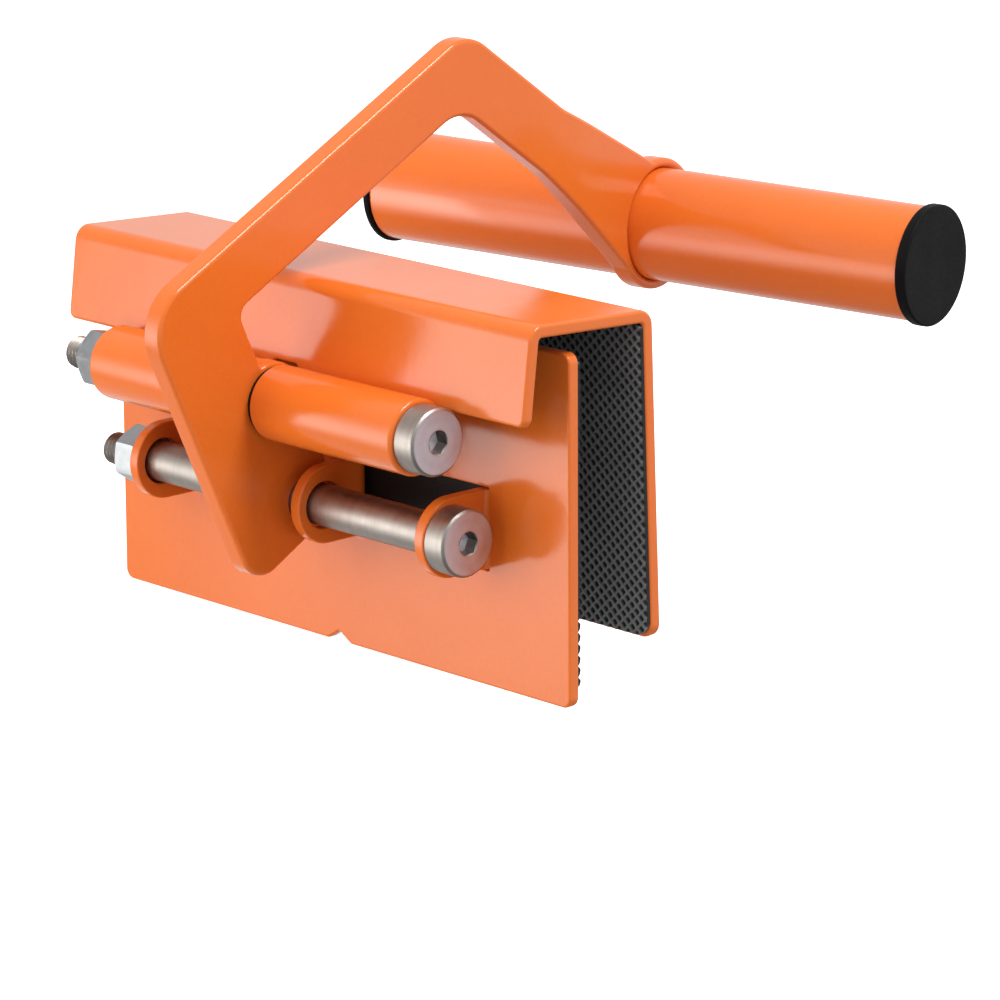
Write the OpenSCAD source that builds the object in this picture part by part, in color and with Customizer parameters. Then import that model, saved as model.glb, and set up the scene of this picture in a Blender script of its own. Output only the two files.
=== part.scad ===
// Panel carrier: a lined steel hook over the top of a board, and a lever with a
// tube handle that pulls a hinged clamp plate against the board when it is lifted.
//
// Frame: +X along the hinge bolts towards their heads, +Y from the clamp plate
// towards the back leg and the handle, +Z up. The origin is the middle of the
// panel seat, on the lower face of the rubber under the web. Millimetres.

/* [Hook] */
// Width of the hook along the bolts
hook_w = 161; // [150:1:180]
// Thickness of the hook and clamp plate sheet
sheet_t = 3; // [2.5:0.1:3.5]
// Outside depth of the hook across its web
hook_depth = 38.2; // [37:0.1:44]
// Length of the front lip
lip_len = 23; // [22:0.1:23.5]
// Outward lean of the front lip, degrees
lip_lean = 4.3; // [3:0.1:5]
// Length of the back leg
leg_len = 78; // [70:1:90]
// Outward flare of the back leg, degrees
leg_flare = 4.9; // [2:0.1:6]
// Outside radius of the two bends
bend_r = 4; // [3.6:0.1:5]
// Number of upright slots through the back leg
slot_count = 5; // [1:1:7]
// Width of each slot
slot_w = 9; // [5:0.5:11]
// Height of each slot
slot_h = 32; // [16:1:36]

/* [Rubber] */
// Thickness of the rubber facings
rubber_t = 1.2; // [0.8:0.1:1.6]
// Step back of the leg facing from the sheet edges
liner_inset = 0.3; // [0.2:0.1:2]
// Step back of the web facing from the ends of the web
web_inset = 5; // [1:0.5:10]
// Step back of the lip facing from the ends of the lip
lip_inset = 2; // [1:0.5:6]
// Step back of the jaw pad from the clamp plate edges
pad_inset = 0.8; // [0.5:0.1:4]

/* [Hinge] */
// Outside diameter of the knuckle tubes
knuckle_d = 18; // [17:0.1:18.4]
// Distance from the middle to the bolt heads
grip_right = 52.4; // [48:0.1:58]
// Distance from the middle to the left end of the left knuckle
grip_left = 55; // [48:0.1:58]
// Diameter of the shoulder of both bolts
pin_d = 10; // [8:0.5:10.5]
// Radial running clearance of the lever on the bolts
run_gap = 0.05; // [0.02:0.01:0.1]
// Diameter of the bolt heads
head_d = 16; // [14:0.5:17]
// Height of the bolt heads
head_h = 6.5; // [5:0.5:8]
// Width across flats of the socket in the bolt heads
socket_af = 5; // [4:0.5:6]
// Thread diameter at the nut end
thread_d = 8; // [6:1:8]
// Width across flats of the nuts
nut_af = 13; // [12:0.5:14]
// Height of the nuts
nut_h = 7.6; // [5.5:0.1:9]
// Length of thread that stands out of the nut
stub_len = 8.2; // [3:0.1:10]

/* [Lever] */
// Thickness of the lever plate
arm_t = 5.5; // [5:0.5:6]
// Angle of the bend before the eye, degrees
arm_bend = 11.4; // [0.5:0.1:14]
// Centre-line radius of that bend
arm_bend_r = 90; // [15:1:100]
// Width of the ring of metal round the handle
eye_rim = 2.45; // [2:0.05:4]

/* [Handle] */
// Outside diameter of the handle tube
handle_d = 28.3; // [25:0.1:30]
// Wall of the handle tube
handle_wall = 2; // [1.5:0.1:3]
// Length of the handle over its end caps
handle_len = 162; // [130:1:180]
// Distance of the handle's middle behind the near face of the eye
handle_back = 1.2; // [0:0.1:5]
// Dip of the right end of the handle, degrees
handle_dip = 0.45; // [0:0.05:0.6]
// Thickness of the flange of the right end cap
cap_t = 2.8; // [2:0.1:5]
// Thickness of the flange of the left end cap
cap_left_t = 1.5; // [1.2:0.1:4]
// How far a cap flange stands out past the tube, on the radius
cap_lip = 0.8; // [0:0.1:1]

/* [Clamp plate] */
// Width of the clamp plate
plate_w = 159; // [150:1:170]
// Height of the clamp plate
plate_h = 83; // [76:1:92]
// Tilt of the clamp plate at rest, degrees
plate_tilt = 2.8; // [0:0.1:4]
// Distance from the lower bolt to the front face of the plate
pin_out = 12; // [11.6:0.1:13]
// Depth of the lower bolt below the top edge of the plate
pin_drop = 45.5; // [45:0.1:48]
// Half the height of the ears, and radius of their noses
ear_r = 9.5; // [8.8:0.1:10.4]
// How far the round of an ear nose sits behind the bolt
nose_back = 1.3; // [0:0.1:1.6]
// Distance from the middle to the near face of an inner ear
ear_in = 6.7; // [4:0.1:9]
// Distance from the middle to the outer face of the left outer ear
ear_left = 52.4; // [46:0.1:53.5]
// Radial clearance of the ears on their bolt
ear_gap = 0.6; // [0.2:0.1:0.8]
// Side play of the clamp plate on its bolt
side_play = 0.3; // [0.1:0.1:1]

/* [Hidden] */
$fn = 96;
eps = 0.05;
// arcs cross the lines they round by this much, so that no edge is a bare touch
cross = 0.004;

// web levels: rubber below, sheet above, seat at zero
web_lo = rubber_t;
web_hi = rubber_t + sheet_t;
hook_front = -27;
hook_back = hook_front + hook_depth;

// hinge axes in the side view, [y, z]
upper = [-34, -25];
lower = [-23.7, -49.8];

// in-sheet directions and inward normals of lip and leg
lip_dir = [-sin(lip_lean), -cos(lip_lean)];
lip_in = [cos(lip_lean), -sin(lip_lean)];
leg_dir = [sin(leg_flare), -cos(leg_flare)];
leg_in = [-cos(leg_flare), -sin(leg_flare)];

// corner points of the hook section
front_top = [hook_front, web_hi];
back_top = [hook_back, web_hi];
lip_end = front_top + lip_len*lip_dir;
leg_end = back_top + leg_len*leg_dir;
// point on the inner face of lip or leg, offset d from the outer face, at height z
function on_lip(d, z) = let(s = (web_hi + d*lip_in[1] - z)/cos(lip_lean))
    front_top + d*lip_in + s*lip_dir;
function on_leg(d, z) = let(s = (web_hi + d*leg_in[1] - z)/cos(leg_flare))
    back_top + d*leg_in + s*leg_dir;

// lever outline in the side view
out_knee = [-73.4, -1.3];
out_apex = [24.6, 57.95];
out_flare = [58, 36.4];
in_flare = [51.6, 21.1];
in_apex = [23.5, 39.3];
in_knee = [-45.4, -2.6];
toe = [-38.7, -69.6];
boss_up = 9.3;
boss_lo = 9;
eye_mid = [99.6, 3.2];
eye_r = handle_d/2 + eye_rim;
pins_dir = (lower - upper)/norm(lower - upper);
pins_side = [-pins_dir[1], pins_dir[0]];

// bend of the lever: the eye end swings towards -X
bend_y = 60.9;
handle_dir = [cos(arm_bend), sin(arm_bend), 0];
eye_run = (eye_mid[0] - bend_y)/cos(arm_bend);
eye_x = -eye_run*sin(arm_bend);
// middle of the eye, on its near face
handle_mid = [eye_x + arm_t/2*cos(arm_bend), eye_mid[0] + arm_t/2*sin(arm_bend), eye_mid[1]];
tube_half = handle_len/2 - cap_t;
tube_left = handle_len/2 - cap_left_t;

orange = [0.93, 0.42, 0.14];
steel = [0.66, 0.64, 0.61];
zinc = [0.62, 0.64, 0.65];
black = [0.07, 0.07, 0.07];
rubber = [0.10, 0.10, 0.11];

// ---------------------------------------------------------------- helpers

// side view shape [y, z] carried along X
module along_x(x0, x1) {
    translate([x0, 0, 0]) rotate([90, 0, 90]) linear_extrude(x1 - x0) children();
}

// round bar along X at [y, z]
module bar_x(x0, x1, r, at) {
    translate([x0, at[0], at[1]]) rotate([0, 90, 0]) cylinder(h = x1 - x0, r = r);
}

function unit(v) = v/norm(v);
function half_angle(a, p, b) = acos(unit(a - p)*unit(b - p))/2;
function arc_mid(a, p, b, r) = p + unit(unit(a - p) + unit(b - p))*r/sin(half_angle(a, p, b));
function arc_end(a, p, b, r) = p + unit(b - p)*r/tan(half_angle(a, p, b));

// tip of a corner, between its point and its rounding; it runs a little past the point
module corner_tip(a, p, b, r) {
    c = arc_mid(a, p, b, r);
    difference() {
        polygon([arc_end(b, p, a, r), p + unit(p - c)*min(1, 0.3*norm(p - c)), arc_end(a, p, b, r)]);
        translate(c) circle(r = r + cross);
    }
}

// polygon with true round corners: a positive radius rounds an outside corner,
// a negative one fills an inside corner, zero keeps the corner sharp
module round_poly(pts, rad) {
    n = len(pts);
    difference() {
        polygon([for (i = [0:n - 1])
            let(a = pts[(i + n - 1) % n], p = pts[i], b = pts[(i + 1) % n], r = -rad[i])
            each (r <= 0 ? [p] : [arc_end(b, p, a, r), arc_end(a, p, b, r)])]);
        for (i = [0:n - 1]) let(a = pts[(i + n - 1) % n], p = pts[i], b = pts[(i + 1) % n])
            if (rad[i] > 0) corner_tip(a, p, b, rad[i]);
            else if (rad[i] < 0) translate(arc_mid(a, p, b, -rad[i])) circle(r = cross - rad[i]);
    }
}

// waste outside a rounded lower corner of a sheet, sx = side, at [x, z], over y0 to y1
module corner_waste(sx, x, z, r, y0, y1) {
    translate([sx*x, 0, z]) mirror([sx > 0 ? 0 : 1, 0, 0]) difference() {
        translate([-r, y0, -1]) cube([r + 1, y1 - y0, r + 1]);
        translate([-r, y0 - 1, r]) rotate([-90, 0, 0]) cylinder(h = y1 - y0 + 2, r = r + cross);
    }
}

// upright slots through the back leg and its facing
module leg_slots() {
    pitch = 2*slot_w;
    for (i = [0:slot_count - 1]) translate([(i - (slot_count - 1)/2)*pitch, 0, -39.3]) {
        translate([-slot_w/2, -2, -(slot_h - slot_w)/2]) cube([slot_w, 40, slot_h - slot_w]);
        for (s = [-1, 1]) translate([0, -2, s*(slot_h - slot_w)/2])
            rotate([-90, 0, 0]) cylinder(h = 40, r = slot_w/2);
    }
}

// ---------------------------------------------------------------- hook

module hook_section() {
    round_poly(
        [lip_end, front_top, back_top, leg_end, leg_end + sheet_t*leg_in,
         on_leg(sheet_t, web_lo), on_lip(sheet_t, web_lo), lip_end + sheet_t*lip_in],
        [0, bend_r, bend_r, 0, 0, -(bend_r - sheet_t), -(bend_r - sheet_t), 0]);
}

module hook_bracket() {
    color(orange) difference() {
        along_x(-hook_w/2, hook_w/2) hook_section();
        for (s = [-1, 1]) {
            corner_waste(s, hook_w/2, leg_end[1] - 0.3, 3.5, 0, 40);
            corner_waste(s, hook_w/2, lip_end[1] - 0.25, 2, -40, -20);
        }
        leg_slots();
        // relief in the lip for the lever boss
        bar_x(-arm_t/2 - 1.2, arm_t/2 + 1.2, boss_up + 0.6, upper);
    }
}

module leg_liner() {
    top = -0.05;
    bottom = leg_end[1] + 0.5;
    color(rubber) difference() {
        along_x(-hook_w/2 + liner_inset, hook_w/2 - liner_inset)
            polygon([on_leg(sheet_t, top), on_leg(sheet_t + rubber_t, top),
                on_leg(sheet_t + rubber_t, bottom), on_leg(sheet_t, bottom)]);
        for (s = [-1, 1])
            corner_waste(s, hook_w/2 - liner_inset, bottom, 4, -5, 40);
        leg_slots();
    }
}

module web_liner() {
    gap = bend_r - sheet_t + 0.1;
    leg_gap = max(gap, rubber_t + 0.2);
    color(rubber) translate([-hook_w/2 + web_inset, on_lip(sheet_t, web_lo)[0] + gap, 0])
        cube([hook_w - 2*web_inset,
            on_leg(sheet_t, web_lo)[0] - on_lip(sheet_t, web_lo)[0] - gap - leg_gap, rubber_t]);
}

module lip_liner() {
    top = -0.05;
    bottom = lip_end[1] + 2;
    color(rubber) difference() {
        along_x(-hook_w/2 + lip_inset, hook_w/2 - lip_inset)
            polygon([on_lip(sheet_t, top), on_lip(sheet_t + rubber_t, top),
                on_lip(sheet_t + rubber_t, bottom), on_lip(sheet_t, bottom)]);
        bar_x(-arm_t/2 - 1.2, arm_t/2 + 1.2, boss_up + 0.6, upper);
    }
}

// tube from x0 to x1 with eased ends, coped round the lower edge of the lip
module knuckle(x0, x1) {
    ease = 0.8;
    color(orange) difference() {
        translate([0, upper[0], upper[1]]) rotate([90, 0, 90]) rotate_extrude()
            round_poly([[pin_d/2 + run_gap, x0], [knuckle_d/2, x0], [knuckle_d/2, x1], [pin_d/2 + run_gap, x1]],
                [0, ease, ease, 0]);
        along_x(x0 - 1, x1 + 1)
            polygon([front_top, front_top + sheet_t*lip_in, lip_end + sheet_t*lip_in, lip_end]);
    }
}

knuckle_in = arm_t/2 + 1.1;

module right_knuckle() { knuckle(knuckle_in, grip_right); }
module left_knuckle() { knuckle(-grip_left, -knuckle_in); }

// bead in the groove between the lower edge of the lip and the knuckle
module knuckle_bead(x0, x1) {
    color(orange) difference() {
        bar_x(x0, x1, 1.8, lip_end + sheet_t*lip_in + [0.05, -1.2]);
        bar_x(x0 - 1, x1 + 1, knuckle_d/2, upper);
        along_x(x0 - 1, x1 + 1)
            polygon([front_top, front_top + sheet_t*lip_in, lip_end + sheet_t*lip_in, lip_end]);
    }
}

module right_knuckle_weld() { knuckle_bead(knuckle_in + 2, grip_right - 2); }
module left_knuckle_weld() { knuckle_bead(-grip_left + 2, -knuckle_in - 2); }

// ---------------------------------------------------------------- fasteners

// shoulder bolt on the X axis: head at +X, shoulder from there to -left, then the thread
module shoulder_bolt(at, left, stub) {
    end_x = -left - nut_h - stub;
    color(steel) translate([0, at[0], at[1]]) difference() {
        rotate([90, 0, 90]) rotate_extrude()
            round_poly([[0, end_x], [thread_d/2 - 0.9, end_x], [thread_d/2, end_x + 0.9],
                [thread_d/2, -left], [pin_d/2, -left], [pin_d/2, grip_right],
                [head_d/2, grip_right], [head_d/2, grip_right + head_h], [0, grip_right + head_h]],
                [0, 0, 0, 0, 0, 0, 0.3, 0.6, 0]);
        translate([grip_right + head_h - 3.2, 0, 0]) rotate([0, 90, 0]) rotate([0, 0, 12])
            cylinder(h = 5, d = socket_af/cos(30), $fn = 6);
    }
}

// hex nut on the thread, against the end of the shoulder
module hex_nut(at, left, turn) {
    color(zinc) translate([-left, at[0], at[1]]) rotate([0, -90, 0]) difference() {
        intersection() {
            rotate([0, 0, turn]) cylinder(h = nut_h, d = nut_af/cos(30), $fn = 6);
            union() {
                cylinder(h = nut_h/2 + eps, r1 = nut_af/2 + 0.1, r2 = nut_af/2 + 0.1 + nut_h);
                translate([0, 0, nut_h/2]) cylinder(h = nut_h/2, r1 = nut_af/2 + 0.1 + nut_h, r2 = nut_af/2 + 0.1);
            }
        }
        translate([0, 0, -1]) cylinder(h = nut_h + 2, r = thread_d/2 + 0.05);
    }
}

module upper_bolt() { shoulder_bolt(upper, grip_left, stub_len); }
module lower_bolt() { shoulder_bolt(lower, ear_left + side_play, stub_len); }
module upper_nut() { hex_nut(upper, grip_left, 38); }
module lower_nut() { hex_nut(lower, ear_left + side_play, 0); }

// thin washer in the gap between a knuckle and the lever
module lever_washer(x0, x1) {
    color(black) difference() {
        bar_x(x0, x1, knuckle_d/2 - 0.6, upper);
        bar_x(x0 - 1, x1 + 1, pin_d/2 + run_gap, upper);
    }
}

module right_lever_washer() { lever_washer(arm_t/2 + 0.1, knuckle_in); }
module left_lever_washer() { lever_washer(-knuckle_in, -arm_t/2 - 0.1); }

// ---------------------------------------------------------------- lever

// plan of the bent plate, [x, y]: straight, a gentle bend, then the eye end
module arm_ribbon() {
    h = arm_t/2;
    k = h*tan(arm_bend/2);
    e = [-sin(arm_bend), cos(arm_bend)];
    w = [cos(arm_bend), sin(arm_bend)];
    far = [0, bend_y] + 90*e;
    round_poly([[h, -90], [h, bend_y + k], far + h*w, far - h*w, [-h, bend_y - k], [-h, -90]],
        [0, arm_bend_r + h, 0, 0, -(arm_bend_r - h), 0]);
}

module arm_outline() {
    round_poly(
        [out_knee, toe, lower + [4.5, -7.4],
         lower + (boss_lo - 0.01)*pins_side, upper + (boss_up - 0.01)*pins_side, upper,
         in_knee, in_apex, in_flare,
         eye_mid + 0.97*eye_r*[-0.63*cos(arm_bend), -0.77], eye_mid, eye_mid + [0, eye_r - 2.2],
         out_flare, out_apex],
        [13, 7, 0, 0, 0, 0, -3.5, -10.5, -25, 0, 0, 0, -20, 11.5]);
    translate(upper) circle(r = boss_up);
    translate(lower) circle(r = boss_lo);
}

// place and direction of the eye's axis
module on_eye() {
    translate(handle_mid) rotate([0, 0, arm_bend]) rotate([0, 90, 0]) children();
}

// place and direction of the handle, from its middle
module on_handle() {
    translate(handle_mid - handle_back*handle_dir) rotate([0, 0, arm_bend])
        rotate([0, 90 + handle_dip, 0]) children();
}

// bar along the handle, from a to b measured from its middle
module bar_h(a, b, r) {
    on_handle() translate([0, 0, a]) cylinder(h = b - a, r = r);
}

module lever_arm() {
    color(orange) difference() {
        union() {
            intersection() {
                translate([0, 0, -80]) linear_extrude(160) arm_ribbon();
                along_x(-60, 40) arm_outline();
            }
            on_eye() translate([0, 0, -arm_t]) cylinder(h = arm_t, r = eye_r);
        }
        bar_h(-arm_t - 5, 8, handle_d/2 + 0.05);
        bar_x(-20, 20, pin_d/2 + run_gap, upper);
        bar_x(-20, 20, pin_d/2 + run_gap, lower);
    }
}

// ---------------------------------------------------------------- handle

module handle_tube() {
    color(orange) difference() {
        bar_h(-tube_left, tube_half, handle_d/2);
        bar_h(-tube_left - 1, tube_half + 1, handle_d/2 - handle_wall);
    }
}

// fillet bead on the far side of the eye
module handle_weld() {
    r = handle_d/2 + 0.15;
    color(orange) on_eye() translate([0, 0, -arm_t]) rotate_extrude()
            polygon([[r, 0], [r + 2, 0], [r + 1.3, -0.9], [r + 0.6, -1.7], [r, -2.2]]);
}

// flange outside the tube, hollow plug inside it
module end_cap(s) {
    ri = handle_d/2 - handle_wall - 0.05;
    ro = handle_d/2 + cap_lip;
    t = s > 0 ? cap_t : cap_left_t;
    end = s > 0 ? tube_half : tube_left;
    color(black) on_handle() mirror([0, 0, s > 0 ? 0 : 1]) rotate_extrude()
            round_poly([[0, end - 1.5], [ri - 2, end - 1.5], [ri - 2, end - 12],
                [ri, end - 12], [ri, end], [ro, end], [ro, end + t], [0, end + t]],
                [0, 0, 0, 0.5, 0, 0.2, 0.6, 0]);
}

module right_end_cap() { end_cap(1); }
module left_end_cap() { end_cap(-1); }

// ---------------------------------------------------------------- clamp jaw

// plate frame: front face at y = 0, top edge at z = 0
module jaw_frame() {
    translate([0, lower[0], lower[1]]) rotate([plate_tilt, 0, 0])
        translate([0, pin_out, pin_drop]) children();
}

win_lo = ear_in + sheet_t;

module plate_outline() {
    w = plate_w/2;
    round_poly([[-w, 0], [-w, -plate_h], [-3.6, -plate_h], [0.5, -plate_h + 2.5], [4.6, -plate_h],
        [w, -plate_h], [w, 0]], [2.5, 2.5, 1.2, -1, 1.2, 2.5, 2.5]);
}

// ear between x0 and x1, with a small fillet at its root on side s
module ear(x0, x1, s) {
    translate([x0, nose_back - pin_out, -pin_drop]) rotate([0, 90, 0]) cylinder(h = x1 - x0, r = ear_r);
    translate([x0, nose_back - pin_out, -pin_drop - ear_r]) cube([x1 - x0, pin_out - nose_back + 1, 2*ear_r]);
    xf = s > 0 ? x1 : x0;
    difference() {
        translate([s > 0 ? xf - 1 : xf - 2, -2, -pin_drop - ear_r]) cube([3, 3, 2*ear_r]);
        translate([xf + s*2, -2, -pin_drop - ear_r - 1]) cylinder(h = 2*ear_r + 2, r = 2);
    }
}

module clamp_plate() {
    color(orange) jaw_frame() difference() {
        union() {
            translate([0, sheet_t, 0]) rotate([90, 0, 0]) linear_extrude(sheet_t) difference() {
                plate_outline();
                translate([win_lo, -pin_drop - ear_r]) square([grip_right - sheet_t - win_lo, 2*ear_r]);
                translate([-ear_left + sheet_t, -pin_drop - ear_r]) square([ear_left - sheet_t - win_lo, 2*ear_r]);
            }
            ear(grip_right - sheet_t, grip_right, 1);
            ear(ear_in, ear_in + sheet_t, -1);
            ear(-ear_in - sheet_t, -ear_in, 1);
            ear(-ear_left, -ear_left + sheet_t, -1);
        }
        translate([-100, -pin_out, -pin_drop]) rotate([0, 90, 0])
            cylinder(h = 200, r = pin_d/2 + ear_gap);
    }
}

module jaw_pad() {
    w = plate_w/2 - pad_inset;
    color(rubber) jaw_frame() translate([0, sheet_t + rubber_t, 0]) rotate([90, 0, 0])
        linear_extrude(rubber_t)
            round_poly([[-w, -pad_inset], [-w, -plate_h + pad_inset + 1], [w, -plate_h + pad_inset + 1], [w, -pad_inset]],
                [3, 4, 4, 3]);
}

// ---------------------------------------------------------------- assembly

hook_bracket();
leg_liner();
web_liner();
lip_liner();
left_knuckle();
right_knuckle();
left_knuckle_weld();
right_knuckle_weld();
upper_bolt();
upper_nut();
left_lever_washer();
right_lever_washer();
lever_arm();
handle_tube();
handle_weld();
left_end_cap();
right_end_cap();
clamp_plate();
jaw_pad();
lower_bolt();
lower_nut();
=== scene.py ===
import bpy
import bmesh
import math
from math import sin, cos, tan, pi, radians, sqrt, atan2, acos, ceil
from mathutils import Vector, Matrix
from mathutils.geometry import tessellate_polygon


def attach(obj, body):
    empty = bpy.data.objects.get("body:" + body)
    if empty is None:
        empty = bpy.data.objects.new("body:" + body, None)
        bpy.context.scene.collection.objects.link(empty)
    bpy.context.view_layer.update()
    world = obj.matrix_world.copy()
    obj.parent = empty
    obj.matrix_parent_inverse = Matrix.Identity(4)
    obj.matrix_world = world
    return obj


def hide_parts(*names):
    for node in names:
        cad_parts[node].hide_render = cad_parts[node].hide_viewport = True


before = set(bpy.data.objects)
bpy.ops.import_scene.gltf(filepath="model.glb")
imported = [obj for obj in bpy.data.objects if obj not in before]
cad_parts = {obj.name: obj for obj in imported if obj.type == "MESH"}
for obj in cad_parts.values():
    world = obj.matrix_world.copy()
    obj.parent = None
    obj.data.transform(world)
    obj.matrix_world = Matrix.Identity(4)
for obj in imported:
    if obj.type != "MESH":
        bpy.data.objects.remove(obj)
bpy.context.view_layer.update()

# All lengths below are millimetres in the row frame; meshes are scaled to metres when made.
MM = 0.001

# ---------------------------------------------------------------- sizes (as in the CAD)

T = 3.0
RUB = 1.2
WEB_HI = RUB + T
HOOK_HALF = 80.5
FRONT = -27.0
BACK = 11.2
LIP_LEN, LIP_LEAN = 23.0, radians(4.3)
LEG_LEN, LEG_FLARE = 78.0, radians(4.9)
BEND = 4.0
UP = (-34.0, -25.0)
LO = (-23.7, -49.8)
GRIP = 52.4
GRIP_L = 55.0
EAR_L = 52.7
HEAD = 6.5
NUT_H = 7.6
STUB = 8.2
PIN = 5.0
BORE = 5.05
ARM_H = 2.75
BEND_Y = 60.9
ARM_A = radians(11.4)
ARM_R = 90.0
EYE = (99.6, 3.2)
EYE_R = 16.6
TUBE_R = 14.15
TUBE_HALF = 78.2
TUBE_L = 79.5
CAP_T, CAP_L, CAP_LIP = 2.8, 1.5, 0.8
TUBE_BACK = 1.2
DIP = radians(0.45)
KN_IN = 3.85
TILT = radians(2.8)
PIN_OUT, PIN_DROP = 12.0, 45.5
EAR_R = 9.5
EAR_IN = 6.7
NOSE_BACK = 1.3
EAR_HOLE = 5.6
PLATE_W, PLATE_H = 79.5, 83.0

EYE_RUN = (EYE[0] - BEND_Y) / cos(ARM_A)
EYE_X = -EYE_RUN * sin(ARM_A)
HAND = Vector((EYE_X + ARM_H * cos(ARM_A), EYE[0] + ARM_H * sin(ARM_A), EYE[1]))


# ---------------------------------------------------------------- small helpers

def sub(a, b): return (a[0] - b[0], a[1] - b[1])
def add(a, b): return (a[0] + b[0], a[1] + b[1])
def mul(a, k): return (a[0] * k, a[1] * k)
def dot(a, b): return a[0] * b[0] + a[1] * b[1]
def length(a): return sqrt(a[0] * a[0] + a[1] * a[1])
def unit(a):
    n = length(a)
    return (a[0] / n, a[1] / n)


def lerp(a, b, k):
    return a + (b - a) * k


def arc(c, r, a0, a1, step=0.35):
    n = max(3, int(ceil(abs(a1 - a0) * r / step)))
    return [(c[0] + r * cos(lerp(a0, a1, i / n)), c[1] + r * sin(lerp(a0, a1, i / n))) for i in range(n + 1)]


def corner(a, p, b, r, step=0.35):
    """points of the arc of radius r that rounds the corner p between a and b"""
    if r <= 0:
        return [p]
    ua, ub = unit(sub(a, p)), unit(sub(b, p))
    half = acos(max(-1, min(1, dot(ua, ub)))) / 2
    t = r / tan(half)
    c = add(p, mul(unit(add(ua, ub)), r / sin(half)))
    s, e = add(p, mul(ua, t)), add(p, mul(ub, t))
    a0, a1 = atan2(s[1] - c[1], s[0] - c[0]), atan2(e[1] - c[1], e[0] - c[0])
    while a1 - a0 > pi: a1 -= 2 * pi
    while a1 - a0 < -pi: a1 += 2 * pi
    return arc(c, r, a0, a1, step)


def round_loop(pts, rad, step=0.35):
    n = len(pts)
    out = []
    for i in range(n):
        out += corner(pts[i - 1], pts[i], pts[(i + 1) % n], abs(rad[i]), step)
    return out


def circle(c, r, n, start=0.0):
    return [(c[0] + r * cos(start + 2 * pi * i / n), c[1] + r * sin(start + 2 * pi * i / n)) for i in range(n)]


def area(loop):
    return 0.5 * sum(loop[i - 1][0] * loop[i][1] - loop[i][0] * loop[i - 1][1] for i in range(len(loop)))


def turned(loop, ccw):
    loop = [p for i, p in enumerate(loop) if length(sub(p, loop[i - 1])) > 1e-5]
    return loop if (area(loop) > 0) == ccw else loop[::-1]


def shifted(loop, d):
    """the loop moved by d to its left, with mitred corners"""
    n = len(loop)
    out = []
    for i in range(n):
        t1, t2 = unit(sub(loop[i], loop[i - 1])), unit(sub(loop[(i + 1) % n], loop[i]))
        n1, n2 = (-t1[1], t1[0]), (-t2[1], t2[0])
        k = max(0.35, 1 + dot(n1, n2))
        out.append((loop[i][0] + d * (n1[0] + n2[0]) / k, loop[i][1] + d * (n1[1] + n2[1]) / k))
    return out


def prism(outer, holes, w0, w1, e, seg=4, hole_e=None, far_e=None):
    """flat sheet from w0 to w1 with its edges rounded by e; returns verts (a, b, w) and faces"""
    loops = [turned(outer, True)] + [turned(h, False) for h in holes]
    ease = [e] + (list(hole_e) if hole_e else [e] * len(holes))
    verts, faces, first, last = [], [], [], []
    for loop, r in zip(loops, ease):
        q = r if far_e is None else min(r, far_e)
        rings = [(q * (1 - sin(pi / 2 * k / seg)), w0 + q * (1 - cos(pi / 2 * k / seg))) for k in range(seg + 1)]
        rings += [(r * (1 - sin(pi / 2 * k / seg)), w1 - r * (1 - cos(pi / 2 * k / seg))) for k in range(seg, -1, -1)]
        n = len(loop)
        base = len(verts)
        for inset, w in rings:
            verts += [(p[0], p[1], w) for p in shifted(loop, inset)]
        for k in range(len(rings) - 1):
            for i in range(n):
                j = (i + 1) % n
                faces.append((base + k * n + i, base + k * n + j, base + (k + 1) * n + j, base + (k + 1) * n + i))
        first.append([base + i for i in range(n)])
        last.append([base + (len(rings) - 1) * n + i for i in range(n)])
    for cap, up in ((first, False), (last, True)):
        flat = [i for loop in cap for i in loop]
        for tri in tessellate_polygon([[Vector((verts[i][0], verts[i][1], 0)) for i in loop] for loop in cap]):
            a, b, c = (flat[i] for i in tri)
            pa, pb, pc = verts[a], verts[b], verts[c]
            z = (pb[0] - pa[0]) * (pc[1] - pa[1]) - (pb[1] - pa[1]) * (pc[0] - pa[0])
            if abs(z) < 1e-9:
                continue
            faces.append((a, b, c) if (z > 0) == up else (a, c, b))
    return verts, faces


def cut_and_fold(verts, faces, cuts, fold):
    """slices a flat mesh at the given planes (axis, value), then moves every vertex by fold"""
    bm = bmesh.new()
    vs = [bm.verts.new(v) for v in verts]
    for f in faces:
        try:
            bm.faces.new([vs[i] for i in f])
        except ValueError:
            pass
    for axis, value in cuts:
        co, no = [0, 0, 0], [0, 0, 0]
        co[axis], no[axis] = value, 1
        bmesh.ops.bisect_plane(bm, geom=bm.verts[:] + bm.edges[:] + bm.faces[:], dist=1e-5, plane_co=co, plane_no=no)
    for v in bm.verts:
        v.co = fold(v.co)
    return bm


def bag(verts, faces):
    bm = bmesh.new()
    vs = [bm.verts.new(v) for v in verts]
    for f in faces:
        try:
            bm.faces.new([vs[i] for i in f])
        except ValueError:
            pass
    return bm


def join(bm, other):
    tmp = bpy.data.meshes.new("tmp")
    other.to_mesh(tmp)
    other.free()
    bm.from_mesh(tmp)
    bpy.data.meshes.remove(tmp)
    return bm


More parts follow.
